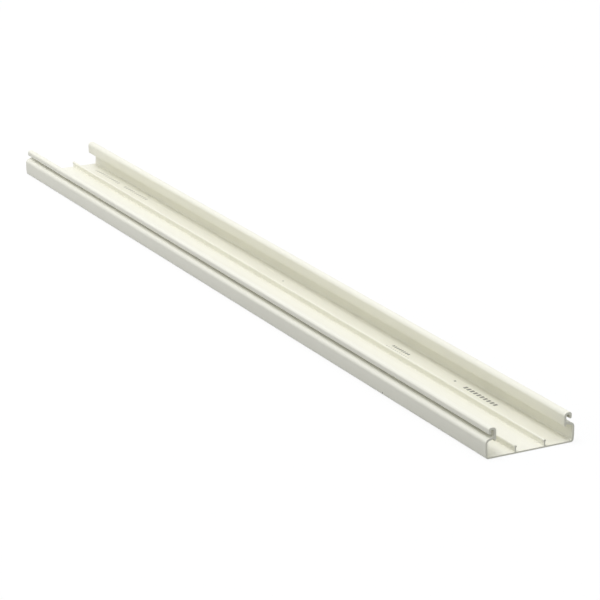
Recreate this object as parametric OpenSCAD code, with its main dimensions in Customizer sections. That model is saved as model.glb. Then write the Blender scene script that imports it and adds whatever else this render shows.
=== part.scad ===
// Base channel of a two-piece surface cable raceway, extruded in rigid vinyl.
// The section lies in X (across) and Z (up from the wall that it is fixed to);
// the extrusion runs along Y, centred on the origin, with its back face on Z = 0.

/* [Channel] */
// Length of the stick
length = 1524; // [300:1:3048]
// Overall width over the side walls
width = 133.4; // [110:0.1:200]
// Overall height, back face to the top of the cover hooks
height = 42; // [38:0.1:60]
// Thickness of the floor
floor_t = 2.2; // [1.5:0.1:3.5]
// Thickness of the side walls
wall_t = 2.7; // [1.8:0.1:3.5]
// Height of the side walls, to the outer corner under the cover
wall_h = 25.8; // [22:0.1:28]
// Distance that the foot of each wall is tucked in under it
tuck = 1; // [0:0.1:2]
// Height of the crease below which the walls tuck in
tuck_h = 10; // [8:0.1:14]
// Outside radius where the floor turns up into a wall
base_r = 4; // [1:0.1:6]
// Outside radius where a wall turns in to its shelf
shoulder_r = 6.5; // [2:0.1:7]
// Radius in the corners between the floor and the walls
inside_r = 1.8; // [0.5:0.1:3]

/* [Cover hooks] */
// Thickness of the shelves that lean in from the tops of the walls
shelf_t = 3.1; // [2:0.1:4]
// Rise of each shelf towards its hook, in degrees
shelf_angle = 17; // [5:1:24]
// Radius in the corner between a wall and the underside of its shelf
eave_r = 3.6; // [0.5:0.1:4]
// Distance from a wall's outer face to the outside of its hook
hook_inset = 4.4; // [2:0.1:8]
// Width of a hook over its curl
hook_w = 11.2; // [9.5:0.1:14]
// Thickness of the curl and its stem
hook_t = 3.2; // [1.8:0.1:3.4]
// Radius over the outer corner of a hook, where it turns down
brow_r = 3.6; // [2:0.1:5]
// Radius of the rounded nose at the hook's free end
nose_r = 1.75; // [1.6:0.05:2.2]
// Drop of the nose's centre below the centre of the curl
nose_drop = 1.8; // [0.5:0.1:2.5]
// Depth of the lip that hangs under the shelf, from the stem's root
lip_drop = 6.8; // [5:0.1:9]
// Thickness of the lip at its rounded tip
lip_tip_t = 1.4; // [0.8:0.1:2.2]
// Radius of the fillet where a stem rises from its shelf
root_r = 2; // [0.4:0.1:3]
// Radius of the fillet where a lip leaves the underside of its shelf
lip_r = 0.9; // [0.4:0.1:1.5]

/* [Divider ribs] */
// Distance between the two ribs on the floor
rib_spacing = 44; // [30:0.5:60]
// Height of a rib above the back face
rib_h = 11.4; // [8:0.1:16]
// Thickness of a rib's web
rib_t = 1.9; // [1.2:0.1:2.5]
// Diameter of the round bead along a rib's top
bead_d = 3.8; // [3:0.1:5]
// Radius of the fillets at a rib's foot
rib_foot_r = 1; // [0.4:0.1:2]

/* [Hidden] */
vinyl = [0.93, 0.92, 0.87];
$fn = 96;
// How far a fillet reaches into what it joins, and how far its arc does
overlap = 0.5;
bite = 0.01;

half_w = width / 2;
hook_r = hook_w / 2;
hook_x = half_w - hook_inset - hook_r;
hook_z = height - hook_r;
stem_in_x = hook_x - hook_r;
stem_out_x = stem_in_x + hook_t;
root_z = shelf_top(stem_out_x);
lip_z = root_z - lip_drop;

// Height of a shelf's upper face at a place across the channel
function shelf_top(x) = wall_h + (half_w - x) * tan(shelf_angle);

// Height of a shelf's under face at a place across the channel
function shelf_under(x) = shelf_top(x) - shelf_t / cos(shelf_angle);

// Unit vector at an angle
function along(a) = [cos(a), sin(a)];

// Sliver between a corner and the arc of radius r that rounds it, taken off a
// convex corner or added to a hollow one. The sides leave the corner at angles a
// and b, a being the lesser. The sliver reaches past both sides, and its arc
// bites a hair past them, so that it crosses them and doesn't graze them.
module corner_sliver(corner, a, b, r) {
    half = (b - a) / 2;
    middle = along((a + b) / 2);
    centre = corner + middle * r / sin(half);
    past = r + overlap;
    difference() {
        polygon([
            centre,
            centre + along(b + 90) * past,
            centre - middle * past / sin(half),
            centre + along(a - 90) * past,
        ]);
        translate(centre) circle(r + bite);
    }
}

// Floor, wall, shelf and stem as one folded strip, with the lip that carries
// the stem on below the shelf
module folded_wall() {
    inner_x = half_w - wall_t;
    foot_x = half_w - tuck;
    inner_foot_x = inner_x - tuck * (tuck_h - floor_t) / tuck_h;
    foot_side = atan2(tuck_h, tuck);
    lip_top_z = shelf_under(stem_out_x);
    tip_r = lip_tip_t / 2;
    tip_x = stem_in_x + hook_t / 2;
    tip_z = lip_z + tip_r;
    lip_side = atan2(tip_z - lip_top_z, tip_x + tip_r - stem_out_x);
    difference() {
        polygon([
            [0, 0], [foot_x, 0], [half_w, tuck_h], [half_w, wall_h],
            [stem_out_x, root_z], [stem_out_x, hook_z], [stem_in_x, hook_z],
            [stem_in_x, lip_top_z], [tip_x - tip_r, tip_z], [tip_x + tip_r, tip_z],
            [stem_out_x, lip_top_z], [inner_x, shelf_under(inner_x)],
            [inner_x, tuck_h], [inner_foot_x, floor_t], [0, floor_t],
        ]);
        corner_sliver([foot_x, 0], foot_side, 180, base_r);
        corner_sliver([half_w, wall_h], 180 - shelf_angle, 270, shoulder_r);
    }
    corner_sliver([inner_foot_x, floor_t], foot_side, 180, inside_r);
    corner_sliver([inner_x, shelf_under(inner_x)], 180 - shelf_angle, 270, eave_r);
    corner_sliver([stem_out_x, root_z], -shelf_angle, 90, root_r);
    corner_sliver([stem_out_x, lip_top_z], lip_side, -shelf_angle, lip_r);
    translate([tip_x, tip_z]) circle(tip_r);
}

// Outward curl on top of the stem, which the cover clips over
module hook_curl() {
    end_x = stem_in_x + hook_w;
    nose_z = hook_z - nose_drop;
    difference() {
        translate([stem_in_x, hook_z]) square([hook_w, hook_r]);
        corner_sliver([stem_in_x, height], 270, 360, hook_r);
        corner_sliver([end_x, height], 180, 270, brow_r);
        translate([hook_x, hook_z]) circle(hook_r - hook_t);
    }
    // Free end, with its nose flush with the outside of the curl
    translate([end_x - hook_t, nose_z]) square([hook_t, nose_drop]);
    translate([end_x - nose_r, nose_z]) circle(nose_r);
}

// Rib with a round bead, which a divider clips over
module divider_rib() {
    bead_r = bead_d / 2;
    translate([-rib_t / 2, 0]) square([rib_t, rib_h - bead_r]);
    translate([0, rib_h - bead_r]) circle(bead_r);
    corner_sliver([rib_t / 2, floor_t], 0, 90, rib_foot_r);
    corner_sliver([-rib_t / 2, floor_t], 90, 180, rib_foot_r);
}

// One side of the section, from the middle plane out
module half_section() {
    folded_wall();
    hook_curl();
    translate([rib_spacing / 2, 0]) divider_rib();
}

module raceway_base() {
    color(vinyl) rotate([90, 0, 0]) linear_extrude(length, center = true) {
        half_section();
        mirror([1, 0]) half_section();
    }
}

raceway_base();
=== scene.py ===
"""Looks of an extruded vinyl cable raceway base.

The channel is drawn again as a fine section and extruded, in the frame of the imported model. It gets an
ivory vinyl finish, and stands in a plain white studio in front of the photograph's camera.
"""

import logging
import math
from collections.abc import Callable, Mapping, Sequence
from dataclasses import dataclass
from enum import Enum
from typing import Any

import bmesh
import bpy
from mathutils import Matrix, Vector


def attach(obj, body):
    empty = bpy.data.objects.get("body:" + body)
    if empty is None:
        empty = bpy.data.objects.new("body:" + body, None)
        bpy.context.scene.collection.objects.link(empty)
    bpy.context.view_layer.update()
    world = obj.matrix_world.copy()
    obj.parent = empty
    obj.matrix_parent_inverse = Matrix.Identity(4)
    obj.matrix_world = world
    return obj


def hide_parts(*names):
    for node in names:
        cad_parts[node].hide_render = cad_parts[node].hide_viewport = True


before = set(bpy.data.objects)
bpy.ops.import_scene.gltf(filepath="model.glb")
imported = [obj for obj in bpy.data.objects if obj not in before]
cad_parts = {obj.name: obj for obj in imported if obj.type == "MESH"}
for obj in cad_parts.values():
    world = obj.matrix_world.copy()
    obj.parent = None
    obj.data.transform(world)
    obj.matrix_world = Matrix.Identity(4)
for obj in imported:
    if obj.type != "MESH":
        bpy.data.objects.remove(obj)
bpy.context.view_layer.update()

LOG = logging.getLogger("raceway")
IMAGE_PX = 600
MM = 0.001
# Vertices this close are in one place
TOUCHING = 0.01 * MM
LAMP_COLOUR = (1.0, 0.99, 1.03)
WHITE = (1.0, 1.0, 1.0, 1.0)

Colour = tuple[float, float, float, float]
Triple = tuple[float, float, float]
Point = tuple[float, float]
Span = tuple[float, float]


class Value:
    """A number that changes over a surface: a shader socket that Python's operators work on."""

    def __init__(self, graph: "NodeGraph", socket: bpy.types.NodeSocket) -> None:
        """Keeps the socket and the graph that its next node goes into.

        Args:
            graph: The graph that holds the socket's node.
            socket: The output socket that gives the number.
        """
        self.graph = graph
        self.socket = socket

    def math(self, operation: str, *inputs: "Value | float", clamp: bool = False) -> "Value":
        """Adds a Math node.

        Args:
            operation: The Math node's operation.
            inputs: The node's inputs in order.
            clamp: Whether the result is held between 0 and 1.

        Returns:
            The node's result.
        """
        settings = {"operation": operation, "use_clamp": clamp}
        return self.graph.value("ShaderNodeMath", settings, dict(enumerate(inputs)))

    def __add__(self, other: "Value | float") -> "Value":
        """Adds another number."""
        return self.math("ADD", self, other)

    def __sub__(self, other: "Value | float") -> "Value":
        """Takes another number away."""
        return self.math("SUBTRACT", self, other)

    def __rsub__(self, other: float) -> "Value":
        """Takes this away from a plain number."""
        return self.math("SUBTRACT", other, self)

    def __mul__(self, other: "Value | float") -> "Value":
        """Multiplies by another number."""
        return self.math("MULTIPLY", self, other)

    def __truediv__(self, other: "Value | float") -> "Value":
        """Divides by another number."""
        return self.math("DIVIDE", self, other)

    def __abs__(self) -> "Value":
        """Drops the sign."""
        return self.math("ABSOLUTE", self)

    def fraction(self) -> "Value":
        """Keeps what is past the whole number below."""
        return self.math("FRACT", self)

    def most(self, other: "Value | float") -> "Value":
        """Gives the greater of two numbers."""
        return self.math("MAXIMUM", self, other)

    def inside(self, softness: float) -> "Value":
        """Turns a depth inside an edge into a mask.

        Args:
            softness: Width of the edge, over which the mask goes from 0 to 1.

        Returns:
            1 well inside the edge, 0 well outside it.
        """
        return self.math("MULTIPLY_ADD", self, 1.0 / softness, 0.5, clamp=True)

    def between(self, low: float, high: float) -> "Value":
        """Stretches a span of the number to 0..1 and holds it there.

        Args:
            low: What becomes 0.
            high: What becomes 1.

        Returns:
            The stretched number.
        """
        share = 1.0 / (high - low)
        return self.math("MULTIPLY_ADD", self, share, -low * share, clamp=True)


class NodeGraph:
    """The nodes of one material or world."""

    def __init__(self, tree: bpy.types.NodeTree) -> None:
        """Empties a node tree and keeps it.

        Args:
            tree: The node tree of a material or of a world.
        """
        self.tree = tree
        self.tree.nodes.clear()

    def node(
        self,
        kind: str,
        settings: Mapping[str, Any] | None = None,
        inputs: Mapping[str | int, Any] | None = None,
    ) -> bpy.types.Node:
        """Adds a node.

        Args:
            kind: The node's type.
            settings: Its properties, which are set first.
            inputs: Values or links of its sockets, by name or by number.

        Returns:
            The node.
        """
        made = self.tree.nodes.new(kind)
        for name, setting in (settings or {}).items():
            setattr(made, name, setting)
        for name, given in (inputs or {}).items():
            source = given.socket if isinstance(given, Value) else given
            if isinstance(source, bpy.types.NodeSocket):
                self.tree.links.new(source, made.inputs[name])
            else:
                made.inputs[name].default_value = source
        return made

    def value(
        self,
        kind: str,
        settings: Mapping[str, Any] | None = None,
        inputs: Mapping[str | int, Any] | None = None,
        output: str | int = 0,
    ) -> Value:
        """Adds a node and wraps one of its outputs.

        Args:
            kind: The node's type.
            settings: Its properties.
            inputs: Values or links of its sockets.
            output: The output's name or number.

        Returns:
            The output, ready for Python's operators.
        """
        return Value(self, self.node(kind, settings, inputs).outputs[output])

    def mix(
        self,
        factor: Value,
        low: Colour | bpy.types.NodeSocket,
        high: Colour | bpy.types.NodeSocket,
    ) -> bpy.types.NodeSocket:
        """Mixes two colours.

        Args:
            factor: Share of the second colour.
            low: Colour at 0.
            high: Colour at 1.

        Returns:
            The mixed colour.
        """
        settings = {"data_type": "RGBA", "clamp_factor": True}
        # A Mix node has sockets for every type: 0 is its factor, 6 and 7 are its colours
        return self.node("ShaderNodeMix", settings, {0: factor, 6: low, 7: high}).outputs[2]

    def blend(self, factor: Value | float, low: bpy.types.Node, high: bpy.types.Node) -> bpy.types.Node:
        """Mixes two shaders.

        Args:
            factor: Share of the second shader.
            low: Shader at 0.
            high: Shader at 1.

        Returns:
            The node that mixes them.
        """
        shaders = {0: factor, 1: low.outputs[0], 2: high.outputs[0]}
        return self.node("ShaderNodeMixShader", None, shaders)


class InkTone(Enum):
    """How strongly the ink of a tick covers the vinyl."""

    FULL = 0.80
    WORN = 0.46


@dataclass(frozen=True)
class TickRow:
    """A row of plain ink ticks on the channel's floor, in metres.

    Attributes:
        x: Middle of the row across the channel.
        tick: Length of a tick, across the channel.
        start: Where the row starts along the channel.
        end: Where the row ends.
        pitch: Distance from tick to tick.
        share: Share of the pitch that is inked.
        tone: How strongly the ink covers.
    """

    x: float
    tick: float
    start: float
    end: float
    pitch: float
    share: float
    tone: InkTone

    def mask(self, x: Value, y: Value, softness: float) -> Value:
        """Covers the ticks.

        Args:
            x: Place across the channel.
            y: Place along the channel.
            softness: Width of the ink's edge.

        Returns:
            The ink's cover, 0 where there is none.
        """
        across = (self.tick / 2 - abs(x - self.x)).inside(softness)
        middle = (self.start + self.end) / 2
        along = ((self.end - self.start) / 2 - abs(y - middle)).inside(softness)
        step = ((y - self.start) / self.pitch).fraction()
        bar = ((self.share / 2 - abs(step - 0.5)) * self.pitch).inside(softness)
        return across * along * bar * self.tone.value


@dataclass(frozen=True)
class Speck:
    """A small round mark on the vinyl, in metres.

    Attributes:
        place: Its middle.
        radius: Its radius.
        cover: How strongly it covers.
        softness: Width of its edge, as a share of its radius.
    """

    place: Triple
    radius: float
    cover: float
    softness: float = 0.8

    def mask(self, graph: NodeGraph, coords: bpy.types.NodeSocket) -> Value:
        """Covers the speck.

        Args:
            graph: The material's graph.
            coords: The piece's own coordinates.

        Returns:
            The speck's cover, 0 where there is none.
        """
        away = graph.value(
            "ShaderNodeVectorMath", {"operation": "DISTANCE"}, {0: coords, 1: self.place}, "Value"
        )
        return (self.radius - away).inside(self.radius * self.softness) * self.cover


@dataclass(frozen=True)
class Noise:
    """A noise over the channel, stretched along its axes.

    Attributes:
        stretch: Blotches to a metre along each axis.
        detail: How many finer layers it has.
        roughness: How strong each finer layer is beside the one before it.
    """

    stretch: Triple
    detail: float
    roughness: float = 0.55

    def over(self, graph: NodeGraph, coords: bpy.types.NodeSocket) -> Value:
        """Lays the noise over a piece.

        Args:
            graph: The material's graph.
            coords: The piece's own coordinates.

        Returns:
            The noise, about 0.5 in the middle.
        """
        stretched = graph.node(
            "ShaderNodeVectorMath", {"operation": "MULTIPLY"}, {0: coords, 1: self.stretch}
        )
        inputs = {
            "Vector": stretched.outputs[0],
            "Scale": 1.0,
            "Detail": self.detail,
            "Roughness": self.roughness,
        }
        return graph.value("ShaderNodeTexNoise", {"noise_dimensions": "3D"}, inputs)


@dataclass(frozen=True)
class SawMarks:
    """Marks of a saw's teeth on the sawn ends, in metres.

    Attributes:
        reach: How far the sawn look goes from an end along the channel.
        softness: Width of the edge where it stops.
        pitch: Distance from mark to mark.
        slant: Lean of the marks, as height to width.
        stray: How far the marks stray from straight lines.
        teeth_share: Share of the teeth in the ridges, the rest being grain.
    """

    reach: float = 0.3 * MM
    softness: float = 0.12 * MM
    pitch: float = 0.9 * MM
    slant: float = 0.34
    stray: float = 0.4 * MM
    teeth_share: float = 0.6

    def ends(self, y: Value, length: float) -> Value:
        """Covers the sawn ends.

        Args:
            y: Place along the channel.
            length: Length of the channel.

        Returns:
            1 on the ends, 0 between them.
        """
        return (abs(y) - (length / 2 - self.reach)).inside(self.softness)

    def ridges(self, x: Value, z: Value, broad: Value, grain: Value) -> Value:
        """Draws the ridges that the teeth leave, slanting over an end.

        Args:
            x: Place across the channel.
            z: Height.
            broad: A slow noise, which the marks stray with.
            grain: A fine noise over the ridges.

        Returns:
            The ridges' height, from 0 to 1.
        """
        step = ((x * self.slant + z + broad * self.stray) / self.pitch).fraction()
        teeth = abs(step - 0.5) * 2.0
        return teeth * self.teeth_share + grain * (1.0 - self.teeth_share)


class Skin:
    """The layers of the channel's surface, which its finish is mixed from.

    Attributes:
        graph: The material's graph.
        coords: The piece's own coordinates.
        x: Place across the channel.
        y: Place along the channel.
        z: Height.
        broad: Broad lines of the die.
        fine: Fine lines of the die.
        cloud: Slow changes along the stick.
        grain: Fine grain, alike in every direction.
        scratch: Scratches of handling, long and thin, only here and there.
        sawn: 1 on the sawn ends.
        ridge: Marks of the saw on the sawn ends.
    """

    broad_noise = Noise((130.0, 0.9, 130.0), 2.0)
    fine_noise = Noise((1500.0, 2.5, 1500.0), 1.0)
    cloud_noise = Noise((16.0, 9.0, 16.0), 3.0)
    grain_noise = Noise((1100.0, 1100.0, 1100.0), 2.0)
    hair_noise = Noise((2600.0, 22.0, 2600.0), 0.0)
    hair_span: Span = (0.66, 0.74)
    patch_noise = Noise((24.0, 7.0, 24.0), 1.0)
    patch_span: Span = (0.52, 0.68)

    def __init__(self, graph: NodeGraph, length: float, saw: SawMarks) -> None:
        """Lays the layers over the channel.

        Args:
            graph: The material's graph.
            length: Length of the channel, for its sawn ends.
            saw: The marks on the sawn ends.
        """
        self.graph = graph
        self.coords = graph.node("ShaderNodeTexCoord").outputs["Object"]
        split = graph.node("ShaderNodeSeparateXYZ", None, {0: self.coords})
        self.x, self.y, self.z = (Value(graph, split.outputs[axis]) for axis in "XYZ")
        self.broad = self.broad_noise.over(graph, self.coords)
        self.fine = self.fine_noise.over(graph, self.coords)
        self.cloud = self.cloud_noise.over(graph, self.coords)
        self.grain = self.grain_noise.over(graph, self.coords)
        hair = self.hair_noise.over(graph, self.coords).between(*self.hair_span)
        patch = self.patch_noise.over(graph, self.coords).between(*self.patch_span)
        self.scratch = hair * patch
        self.sawn = saw.ends(self.y, length)
        self.ridge = saw.ridges(self.x, self.z, self.broad, self.grain) * self.sawn

    def mixed(self, **weights: float) -> Value:
        """Adds layers up.

        Args:
            weights: How much each layer counts, by its name.

        Returns:
            The sum.
        """
        first, *rest = (getattr(self, layer) * weight for layer, weight in weights.items())
        return sum(rest, start=first)


@dataclass(frozen=True)
class VinylFinish:
    """Rigid ivory vinyl, satin, with the lines that its die leaves along it.

    Attributes:
        pale: Colour of the vinyl on its palest lines.
        deep: Colour of the vinyl on its deepest lines.
        ink: Colour of the ticks and specks.
        roughness: Roughness of the satin skin.
        sawn_roughness: Roughness of the sawn ends.
        rows: Rows of ticks on the floor.
        specks: Small marks.
        saw: Marks on the sawn ends.
        sawn_tint: How far the saw's ridges take on the deep colour.
        tone_span: Sums of the layers that give the deep and the pale colour.
        wear_span: Sums of the layers at which the ink is gone and whole.
        ink_edge: Width of the ink's edge, in metres.
        ink_reach: How far the ink reaches above and below the floor's upper face, in metres.
        ink_fade: Width over which it stops there, in metres.
        gloss_middle: What the layers add to the roughness on average, which is taken off again.
        ior: Index of refraction.
        bump_strength: How strongly the layers' heights tilt the surface.
        bump_depth: Height of a layer that counts as 1, in metres.
    """

    pale: Colour
    deep: Colour
    ink: Colour
    roughness: float
    sawn_roughness: float
    rows: tuple[TickRow, ...]
    specks: tuple[Speck, ...]
    saw: SawMarks = SawMarks()
    sawn_tint: float = 0.9
    tone_span: Span = (0.30, 0.86)
    wear_span: Span = (0.18, 0.42)
    ink_edge: float = 0.25 * MM
    ink_reach: float = 0.5 * MM
    ink_fade: float = 0.1 * MM
    gloss_middle: float = 0.12
    ior: float = 1.53
    bump_strength: float = 0.5
    bump_depth: float = 0.07 * MM

    def material(self, length: float, floor_top: float) -> bpy.types.Material:
        """Makes the finish.

        Args:
            length: Length of the channel, for its sawn ends.
            floor_top: Height of the floor's upper face, for the ticks.

        Returns:
            The material.
        """
        made = bpy.data.materials.new("ivory_vinyl")
        made.use_nodes = True
        graph = NodeGraph(made.node_tree)
        skin = Skin(graph, length, self.saw)
        inputs = {
            "Base Color": self._colour(skin, floor_top),
            "Roughness": self._rough(skin),
            "IOR": self.ior,
            "Normal": self._bump(skin),
        }
        shader = graph.node("ShaderNodeBsdfPrincipled", None, inputs)
        graph.node("ShaderNodeOutputMaterial", None, {"Surface": shader.outputs[0]})
        return made

    def _inked(self, skin: Skin, floor_top: float) -> Value:
        """Covers the ticks, on the floor's upper face alone, and the specks.

        Args:
            skin: The layers of the surface.
            floor_top: Height of the floor's upper face.

        Returns:
            The ink's cover, 0 where there is none.
        """
        first, *rest = (row.mask(skin.x, skin.y, self.ink_edge) for row in self.rows)
        on_floor = (self.ink_reach - abs(skin.z - floor_top)).inside(self.ink_fade)
        wear = skin.mixed(grain=0.5, broad=0.4).between(*self.wear_span)
        cover = sum(rest, start=first) * on_floor * wear
        for speck in self.specks:
            cover = cover.most(speck.mask(skin.graph, skin.coords))
        return cover

    def _colour(self, skin: Skin, floor_top: float) -> bpy.types.NodeSocket:
        """Mixes the colour.

        Args:
            skin: The layers of the surface.
            floor_top: Height of the floor's upper face.

        Returns:
            The colour of the vinyl, its sawn ends and its ink.
        """
        tone = skin.mixed(broad=0.62, fine=0.2, cloud=0.34, scratch=0.2).between(*self.tone_span)
        vinyl = skin.graph.mix(tone, self.deep, self.pale)
        sawn = skin.graph.mix(skin.ridge * self.sawn_tint, vinyl, self.deep)
        return skin.graph.mix(self._inked(skin, floor_top), sawn, self.ink)

    def _rough(self, skin: Skin) -> Value:
        """Mixes the roughness.

        Args:
            skin: The layers of the surface.

        Returns:
            The roughness, higher on the sawn ends.
        """
        change = skin.mixed(cloud=0.14, fine=0.10, scratch=0.16) - self.gloss_middle
        return change + self.roughness + skin.sawn * (self.sawn_roughness - self.roughness)

    def _bump(self, skin: Skin) -> bpy.types.NodeSocket:
        """Raises and sinks the layers.

        Args:
            skin: The layers of the surface.

        Returns:
            The tilted normal.
        """
        height = skin.mixed(broad=0.5, fine=0.22, grain=0.12, scratch=-0.25, ridge=1.6)
        inputs = {"Strength": self.bump_strength, "Distance": self.bump_depth, "Height": height}
        return skin.graph.node("ShaderNodeBump", None, inputs).outputs["Normal"]


@dataclass(frozen=True)
class Corner:
    """A corner of the section's outline, in metres.

    Attributes:
        x: Its place across the channel.
        z: Its height.
        radius: The radius that rounds it, 0 where it is sharp.
    """

    x: float
    z: float
    radius: float = 0.0


class SectionPen:
    """Draws the outline of a section as a line of edges, in a plane across the channel."""

    def __init__(self, name: str, y: float, arc_step: float) -> None:
        """Starts a mesh with one vertex, on the middle plane and the back face.

        Args:
            name: Name of the piece.
            y: Where the plane is along the channel.
            arc_step: Most that an arc turns from vertex to vertex, in degrees.
        """
        bpy.ops.object.select_all(action="DESELECT")
        bpy.ops.mesh.primitive_plane_add(size=MM)
        self.piece = bpy.context.active_object
        self.piece.name = name
        self.piece.data.name = name
        self.y = y
        self.arc_step = arc_step
        self.at: Point = (0.0, 0.0)
        bpy.ops.object.mode_set(mode="EDIT")
        bpy.ops.mesh.select_all(action="SELECT")
        bpy.ops.mesh.merge(type="CENTER")
        bpy.ops.transform.translate(value=(0.0, y, 0.0))

    def line(self, x: float, z: float) -> None:
        """Draws a straight side.

        Args:
            x: Where it ends across the channel.
            z: Height at which it ends.
        """
        move = (x - self.at[0], 0.0, z - self.at[1])
        bpy.ops.mesh.extrude_region_move(TRANSFORM_OT_translate={"value": move})
        self.at = (x, z)

    def arc(self, x: float, z: float, turn: float) -> None:
        """Draws an arc from where the pen is.

        Args:
            x: The arc's centre across the channel.
            z: Height of the arc's centre.
            turn: How far it goes round, in degrees, with the hands of the clock if negative.
        """
        steps = max(2, math.ceil(abs(turn) / self.arc_step))
        angle = math.radians(turn)
        bpy.ops.mesh.spin(
            steps=steps, dupli=False, angle=angle, center=(x, self.y, z), axis=(0.0, 1.0, 0.0)
        )
        away = Matrix.Rotation(angle, 2) @ Vector((self.at[0] - x, self.at[1] - z))
        self.at = (x + away.x, z + away.y)

    def follow(self, corners: Sequence[Corner]) -> None:
        """Draws sides from corner to corner, with the rounded corners as arcs.

        Args:
            corners: The corners in order. The last one is sharp.
        """
        for corner, after in zip(corners, [*corners[1:], corners[-1]]):
            if corner.radius:
                self._round(corner, after)
            else:
                self.line(corner.x, corner.z)

    def _round(self, corner: Corner, after: Corner) -> None:
        """Draws a side and the arc that turns into the next one.

        Args:
            corner: The rounded corner.
            after: The corner that the next side goes to.
        """
        here = Vector((corner.x, corner.z))
        back = (Vector(self.at) - here).normalized()
        ahead = (Vector((after.x, after.z)) - here).normalized()
        half = back.angle(ahead) / 2
        touch = here + back * (corner.radius / math.tan(half))
        centre = here + (back + ahead).normalized() * (corner.radius / math.sin(half))
        side = math.copysign(1.0, ahead.x * back.y - ahead.y * back.x)
        self.line(touch.x, touch.y)
        self.arc(centre.x, centre.y, side * (180.0 - 2.0 * math.degrees(half)))


@dataclass
class RacewayBase:
    """The base channel: floor, side walls, leaning shelves, curled cover hooks and two divider ribs.

    Sizes are in metres and angles in degrees. The section lies in X and Z, and the extrusion runs
    along Y.

    Attributes:
        length: Length of the stick.
        width: Width over the side walls.
        height: Height from the back face to the top of the hooks.
        floor_t: Thickness of the floor.
        wall_t: Thickness of the side walls.
        wall_h: Height of the walls, to the outer corner under the cover.
        tuck: How far the foot of a wall is tucked in under it.
        tuck_h: Height of the crease below which the walls tuck in.
        base_r: Outside radius where the floor turns up into a wall.
        shoulder_r: Outside radius where a wall turns in to its shelf.
        inside_r: Radius in the corners between the floor and the walls.
        shelf_t: Thickness of the shelves.
        shelf_angle: Rise of each shelf towards its hook.
        eave_r: Radius between a wall and the underside of its shelf.
        hook_inset: Distance from a wall's outer face to the outside of its hook.
        hook_w: Width of a hook over its curl.
        hook_t: Thickness of the curl and its stem.
        brow_r: Radius over the outer corner of a hook.
        nose_r: Radius of the nose at the hook's free end.
        nose_drop: Drop of the nose's centre below the centre of the curl.
        lip_drop: Depth of the lip that hangs under the shelf, from the stem's root.
        lip_tip_t: Thickness of the lip at its rounded tip.
        root_r: Radius where a stem rises from its shelf.
        lip_r: Radius where a lip leaves the underside of its shelf.
        rib_spacing: Distance between the two ribs on the floor.
        rib_h: Height of a rib above the back face.
        rib_t: Thickness of a rib's web.
        bead_d: Diameter of the round bead along a rib's top.
        rib_foot_r: Radius at a rib's foot.
        end_arris: Width of the broken edge at the sawn ends.
        arc_step: Most that an arc turns from vertex to vertex.
        slices: Pieces of the length that the extrusion goes in.
        smooth_angle: Turn between two faces from which their edge stays sharp.
    """

    length: float = 1524.0 * MM
    width: float = 133.4 * MM
    height: float = 42.0 * MM
    floor_t: float = 2.2 * MM
    wall_t: float = 2.7 * MM
    wall_h: float = 25.8 * MM
    tuck: float = 1.0 * MM
    tuck_h: float = 10.0 * MM
    base_r: float = 4.0 * MM
    shoulder_r: float = 6.5 * MM
    inside_r: float = 1.8 * MM
    shelf_t: float = 3.1 * MM
    shelf_angle: float = 17.0
    eave_r: float = 3.6 * MM
    hook_inset: float = 4.4 * MM
    hook_w: float = 11.2 * MM
    hook_t: float = 3.2 * MM
    brow_r: float = 3.6 * MM
    nose_r: float = 1.75 * MM
    nose_drop: float = 1.8 * MM
    lip_drop: float = 6.8 * MM
    lip_tip_t: float = 1.4 * MM
    root_r: float = 2.0 * MM
    lip_r: float = 0.9 * MM
    rib_spacing: float = 44.0 * MM
    rib_h: float = 11.4 * MM
    rib_t: float = 1.9 * MM
    bead_d: float = 3.8 * MM
    rib_foot_r: float = 1.0 * MM
    end_arris: float = 0.15 * MM
    arc_step: float = 6.0
    slices: int = 12
    smooth_angle: float = 36.0

    def shelf_top(self, x: float) -> float:
        """Gives the height of a shelf's upper face at a place across the channel."""
        return self.wall_h + (self.width / 2 - x) * math.tan(math.radians(self.shelf_angle))

    def shelf_under(self, x: float) -> float:
        """Gives the height of a shelf's under face at a place across the channel."""
        return self.shelf_top(x) - self.shelf_t / math.cos(math.radians(self.shelf_angle))

    def build(self) -> bpy.types.Object:
        """Models the channel.

        Returns:
            The piece.
        """
        pen = SectionPen("raceway_channel", -self.length / 2, self.arc_step)
        self._draw_wall(pen)
        self._draw_hook(pen)
        self._draw_inside(pen)
        self._extrude()
        self._mirror(pen.piece)
        self._close_ends(pen.piece)
        self._smooth(pen.piece)
        return pen.piece

    def _draw_wall(self, pen: SectionPen) -> None:
        """Draws the back face, the side wall, the shelf's upper face and the stem's outside.

        Args:
            pen: The pen, at the middle of the back face.
        """
        half_w = self.width / 2
        stem_x = half_w - self.hook_inset - self.hook_w + self.hook_t
        pen.follow(
            [
                Corner(half_w - self.tuck, 0.0, self.base_r),
                Corner(half_w, self.tuck_h),
                Corner(half_w, self.wall_h, self.shoulder_r),
                Corner(stem_x, self.shelf_top(stem_x), self.root_r),
                Corner(stem_x, self.height - self.hook_w / 2),
            ]
        )

    def _draw_hook(self, pen: SectionPen) -> None:
        """Draws the curl, inside and then outside, with the nose on its free end.

        Args:
            pen: The pen, on the stem's outside where the curl starts.
        """
        hook_r = self.hook_w / 2
        end_x = self.width / 2 - self.hook_inset
        hook_x = end_x - hook_r
        hook_z = self.height - hook_r
        nose_x = end_x - self.nose_r
        nose_z = hook_z - self.nose_drop
        neck = self.hook_t - self.nose_r
        neck_z = math.sqrt(self.nose_r**2 - neck**2)
        pen.arc(hook_x, hook_z, -180.0)
        pen.line(end_x - self.hook_t, nose_z + neck_z)
        pen.arc(nose_x, nose_z, 360.0 - math.degrees(math.atan2(neck_z, -neck)))
        pen.follow([Corner(end_x, self.height, self.brow_r), Corner(hook_x, self.height)])
        pen.arc(hook_x, hook_z, 90.0)

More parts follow.
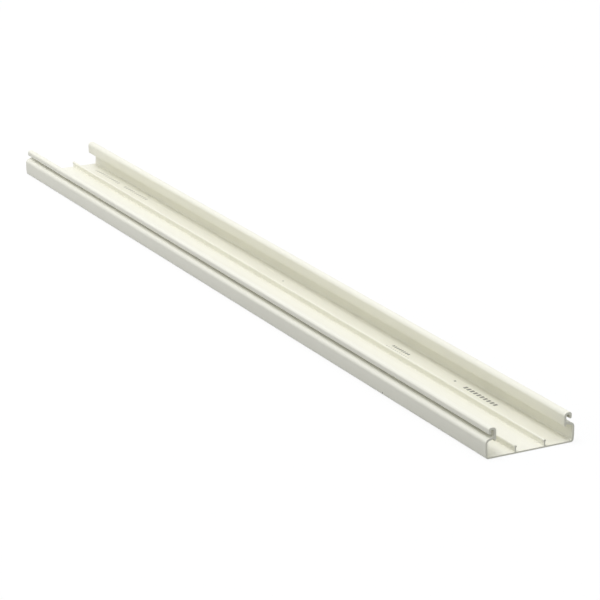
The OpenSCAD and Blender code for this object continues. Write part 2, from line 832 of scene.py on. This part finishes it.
    def _draw_inside(self, pen: SectionPen) -> None:
        """Draws the stem's inside, the lip, the shelf's under face, the wall's inside and the rib.

        Args:
            pen: The pen, on the stem's inside where the curl ends.
        """
        half_w = self.width / 2
        stem_in_x = half_w - self.hook_inset - self.hook_w
        stem_out_x = stem_in_x + self.hook_t
        lip_top_z = self.shelf_under(stem_out_x)
        tip_r = self.lip_tip_t / 2
        tip_x = stem_in_x + self.hook_t / 2
        tip_z = self.shelf_top(stem_out_x) - self.lip_drop + tip_r
        pen.line(stem_in_x, lip_top_z)
        pen.line(tip_x - tip_r, tip_z)
        pen.arc(tip_x, tip_z, 180.0)

        inner_x = half_w - self.wall_t
        foot_x = inner_x - self.tuck * (1.0 - self.floor_t / self.tuck_h)
        rib_x = self.rib_spacing / 2
        bead_r = self.bead_d / 2
        bead_z = self.rib_h - bead_r
        web = self.rib_t / 2
        neck_z = bead_z - math.sqrt(bead_r**2 - web**2)
        pen.follow(
            [
                Corner(stem_out_x, lip_top_z, self.lip_r),
                Corner(inner_x, self.shelf_under(inner_x), self.eave_r),
                Corner(inner_x, self.tuck_h),
                Corner(foot_x, self.floor_t, self.inside_r),
                Corner(rib_x + web, self.floor_t, self.rib_foot_r),
                Corner(rib_x + web, neck_z),
            ]
        )
        pen.arc(rib_x, bead_z, 360.0 - 2.0 * math.degrees(math.asin(web / bead_r)))
        pen.follow([Corner(rib_x - web, self.floor_t, self.rib_foot_r), Corner(0.0, self.floor_t)])

    def _extrude(self) -> None:
        """Runs the drawn line along the channel, and leaves edit mode."""
        bpy.ops.mesh.select_all(action="SELECT")
        step = self.length / self.slices
        for _ in range(self.slices):
            bpy.ops.mesh.extrude_region_move(TRANSFORM_OT_translate={"value": (0.0, step, 0.0)})
        bpy.ops.object.mode_set(mode="OBJECT")

    def _mirror(self, piece: bpy.types.Object) -> None:
        """Adds the other half.

        Args:
            piece: The half that is drawn.
        """
        mirror = piece.modifiers.new("other_half", "MIRROR")
        mirror.use_axis = (True, False, False)
        mirror.use_mirror_merge = True
        mirror.merge_threshold = TOUCHING
        bpy.ops.object.modifier_apply(modifier=mirror.name)

    def _close_ends(self, piece: bpy.types.Object) -> None:
        """Closes both sawn ends and takes the sharpness off their edges.

        Args:
            piece: The open channel.
        """
        bpy.ops.object.mode_set(mode="EDIT")
        for end in (-self.length / 2, self.length / 2):
            select_vertices(piece, lambda co: abs(co.y - end) < TOUCHING)
            bpy.ops.mesh.edge_face_add()
        select_vertices(piece, lambda co: self.length / 2 - abs(co.y) < TOUCHING)
        bpy.ops.mesh.bevel(offset=self.end_arris, segments=2, affect="EDGES", clamp_overlap=False)
        bpy.ops.mesh.select_all(action="SELECT")
        bpy.ops.mesh.normals_make_consistent(inside=False)
        bpy.ops.object.mode_set(mode="OBJECT")

    def _smooth(self, piece: bpy.types.Object) -> None:
        """Shades the arcs round and keeps the flat faces flat.

        Args:
            piece: The closed channel.
        """
        bpy.ops.object.shade_smooth_by_angle(angle=math.radians(self.smooth_angle))
        weighted = piece.modifiers.new("flat_faces", "WEIGHTED_NORMAL")
        weighted.keep_sharp = True
        # The largest face beside a vertex decides its normal
        weighted.weight = 100
        bpy.ops.object.modifier_apply(modifier=weighted.name)

    def dress(self, piece: bpy.types.Object, finish: VinylFinish) -> None:
        """Gives the channel its finish and its place in the frame.

        Args:
            piece: The finished mesh.
            finish: Its finish.
        """
        piece.data.materials.clear()
        piece.data.materials.append(finish.material(self.length, self.floor_t))
        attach(piece, "root")
        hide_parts("raceway_base")


def select_vertices(piece: bpy.types.Object, test: Callable[[Vector], bool]) -> None:
    """Selects the vertices of a mesh in edit mode by their place, and the edges between them.

    Args:
        piece: The piece in edit mode.
        test: Says whether a vertex at a place is selected.
    """
    bpy.ops.mesh.select_all(action="DESELECT")
    mesh = bmesh.from_edit_mesh(piece.data)
    for vertex in mesh.verts:
        vertex.select = test(vertex.co)
    mesh.select_flush(True)
    bmesh.update_edit_mesh(piece.data)


def add_lamp(name: str, kind: str, place: Triple, back: Vector, strength: float) -> bpy.types.Light:
    """Hangs a lamp.

    Args:
        name: Its name.
        kind: Blender's kind of lamp.
        place: Where it hangs.
        back: The way to it from what it shines at.
        strength: Its strength.

    Returns:
        The lamp's settings.
    """
    bpy.ops.object.select_all(action="DESELECT")
    bpy.ops.object.light_add(type=kind, location=place)
    lamp = bpy.context.active_object
    lamp.name = name
    lamp.rotation_euler = back.to_track_quat("Z", "Y").to_euler()
    lamp.data.energy = strength
    lamp.data.color = LAMP_COLOUR
    return lamp.data


@dataclass(frozen=True)
class SoftLamp:
    """A lamp far away, whose light comes from a wide patch of the sky.

    Attributes:
        name: Its name.
        way: The way to it from the channel.
        strength: Its strength on a surface that faces it.
        spread: Width of the patch, in degrees.
    """

    name: str
    way: Triple
    strength: float
    spread: float

    def build(self) -> None:
        """Hangs the lamp."""
        lamp = add_lamp(self.name, "SUN", self.way, Vector(self.way), self.strength)
        lamp.angle = math.radians(self.spread)


@dataclass(frozen=True)
class PanelLamp:
    """A square lamp that stands near the channel, so that its light falls off along it.

    Attributes:
        name: Its name.
        place: Where it stands, in metres.
        aim: The place that it shines at.
        size: Length of its sides, in metres.
        watts: Its strength.
    """

    name: str
    place: Triple
    aim: Triple
    size: float
    watts: float

    def build(self) -> None:
        """Stands the lamp in its place."""
        back = Vector(self.place) - Vector(self.aim)
        lamp = add_lamp(self.name, "AREA", self.place, back, self.watts)
        lamp.shape = "SQUARE"
        lamp.size = self.size


@dataclass
class Studio:
    """A plain white floor, soft lamps above it and an even light from all round.

    Attributes:
        floor_size: Length of the floor's sides, in metres.
        floor_z: Height of the floor, a hair under the channel, in metres.
        floor_colour: Colour of the lit part of the floor that is shown.
        bounce_colour: Colour of the floor for the light that it throws back.
        white_share: Share of plain white in the floor that is shown, which leaves a light shadow.
        fill_colour: Colour of the light from all round.
        ambient: Strength of the light from all round.
        lamps: The lamps.
    """

    floor_size: float = 24.0
    floor_z: float = -0.3 * MM
    floor_colour: Colour = (0.97, 0.97, 0.97, 1.0)
    bounce_colour: Colour = (0.28, 0.28, 0.28, 1.0)
    white_share: float = 0.86
    fill_colour: Colour = (0.975, 1.0, 0.985, 1.0)
    ambient: float = 0.54
    lamps: tuple[SoftLamp | PanelLamp, ...] = (
        SoftLamp("overhead", (0.0, 0.0, 1.0), 0.81, 60.0),
        SoftLamp("key", (-0.3, 0.2, 1.0), 0.81, 25.0),
        PanelLamp("far_side", (-1.5, 1.3, 0.95), (0.0, 0.5, 0.0), 1.2, 6.1),
    )

    def build(self) -> None:
        """Makes the floor, the lamps and the world."""
        self._lay_floor()
        for lamp in self.lamps:
            lamp.build()
        self._fill_world()

    @staticmethod
    def _seen(graph: NodeGraph) -> Value:
        """Adds a Light Path.

        Args:
            graph: The graph of a material or of the world.

        Returns:
            1 on the rays that show the background, which are the camera's, mirrored and clear ones.
        """
        path = graph.node("ShaderNodeLightPath")
        seen = Value(graph, path.outputs["Is Camera Ray"])
        for name in ("Is Glossy Ray", "Is Transmission Ray"):
            seen = seen.most(Value(graph, path.outputs[name]))
        return seen

    def _lay_floor(self) -> None:
        """Lays the floor, white to the camera apart from a light shadow."""
        bpy.ops.object.select_all(action="DESELECT")
        bpy.ops.mesh.primitive_plane_add(size=self.floor_size, location=(0.0, 0.0, self.floor_z))
        floor = bpy.context.active_object
        floor.name = "studio_floor"
        made = bpy.data.materials.new("white_floor")
        made.use_nodes = True
        graph = NodeGraph(made.node_tree)
        white = graph.node("ShaderNodeEmission", None, {"Color": WHITE, "Strength": 1.0})
        paper = graph.node("ShaderNodeBsdfDiffuse", None, {"Color": self.floor_colour})
        bounce = graph.node("ShaderNodeBsdfDiffuse", None, {"Color": self.bounce_colour})
        shown = graph.blend(self.white_share, paper, white)
        surface = graph.blend(self._seen(graph), bounce, shown)
        graph.node("ShaderNodeOutputMaterial", None, {"Surface": surface.outputs[0]})
        floor.data.materials.append(made)

    def _fill_world(self) -> None:
        """Fills the world with a low light, shown as plain white."""
        world = bpy.data.worlds.new("white_room")
        world.use_nodes = True
        graph = NodeGraph(world.node_tree)
        fill = graph.node(
            "ShaderNodeBackground", None, {"Color": self.fill_colour, "Strength": self.ambient}
        )
        shown = graph.node("ShaderNodeBackground", None, {"Color": WHITE, "Strength": 1.0})
        surface = graph.blend(self._seen(graph), fill, shown)
        graph.node("ShaderNodeOutputWorld", None, {"Surface": surface.outputs[0]})
        bpy.context.scene.world = world


@dataclass
class PhotoCamera:
    """The photograph's camera, fitted to the channel's long edges and its near end.

    Attributes:
        place: Where it stands, in metres.
        yaw: Its turn to the left of the channel's length, in degrees.
        pitch: How far it looks down, in degrees.
        roll: Its lean, in degrees.
        focal_px: Focal length in pixels of the photograph.
        sensor: Width of the sensor, in millimetres.
    """

    place: Triple = (-1.7916, -3.5621, 1.3020)
    yaw: float = -27.56
    pitch: float = 18.33
    roll: float = -0.40
    focal_px: float = 2779.0
    sensor: float = 36.0

    def build(self) -> None:
        """Makes the camera and puts the scene in its view."""
        yaw, pitch, roll = (math.radians(turn) for turn in (self.yaw, self.pitch, self.roll))
        right = Vector((math.cos(yaw), math.sin(yaw), 0.0))
        ahead = Vector(
            (-math.sin(yaw) * math.cos(pitch), math.cos(yaw) * math.cos(pitch), -math.sin(pitch))
        )
        up = right.cross(ahead)
        leaning = right * math.cos(roll) + up * math.sin(roll)
        axes = Matrix((leaning, leaning.cross(ahead), -ahead)).transposed()
        bpy.ops.object.select_all(action="DESELECT")
        bpy.ops.object.camera_add(location=self.place)
        camera = bpy.context.active_object
        camera.name = "photo_camera"
        camera.rotation_euler = axes.to_euler()
        camera.data.sensor_fit = "HORIZONTAL"
        camera.data.sensor_width = self.sensor
        camera.data.lens = self.focal_px / IMAGE_PX * self.sensor
        camera.data.clip_start = 0.05
        camera.data.clip_end = 100.0
        bpy.context.scene.camera = camera


IVORY_VINYL = VinylFinish(
    pale=(0.884, 0.874, 0.775, 1.0),
    deep=(0.850, 0.837, 0.725, 1.0),
    ink=(0.055, 0.056, 0.052, 1.0),
    roughness=0.40,
    sawn_roughness=0.62,
    rows=(
        TickRow(45.0 * MM, 6.8 * MM, -608.0 * MM, -523.0 * MM, 8.5 * MM, 0.6, InkTone.FULL),
        TickRow(45.7 * MM, 3.4 * MM, -500.0 * MM, -495.0 * MM, 5.0 * MM, 0.8, InkTone.FULL),
        TickRow(44.0 * MM, 4.4 * MM, -376.0 * MM, -328.0 * MM, 6.0 * MM, 0.6, InkTone.FULL),
        TickRow(36.0 * MM, 2.2 * MM, -388.0 * MM, -322.0 * MM, 6.0 * MM, 0.5, InkTone.WORN),
        TickRow(47.0 * MM, 5.0 * MM, 510.0 * MM, 602.0 * MM, 8.5 * MM, 0.5, InkTone.WORN),
        TickRow(47.0 * MM, 5.0 * MM, 623.0 * MM, 721.0 * MM, 8.5 * MM, 0.5, InkTone.WORN),
    ),
    specks=(
        Speck((43.7 * MM, 9.7 * MM, 2.2 * MM), 1.6 * MM, 0.75),
        Speck((-66.1 * MM, -494.2 * MM, 3.6 * MM), 1.3 * MM, 0.7),
    ),
)


def main() -> None:
    """Builds the camera, the channel and the studio."""
    logging.basicConfig(level=logging.INFO, format="%(name)s: %(message)s")
    bpy.context.scene.view_settings.view_transform = "Standard"
    PhotoCamera().build()
    LOG.info("camera placed")
    base = RacewayBase()
    channel = base.build()
    base.dress(channel, IVORY_VINYL)
    LOG.info("%s: %d faces, for node raceway_base", channel.name, len(channel.data.polygons))
    Studio().build()
    LOG.info("studio lit")


if __name__ == "__main__":
    main()
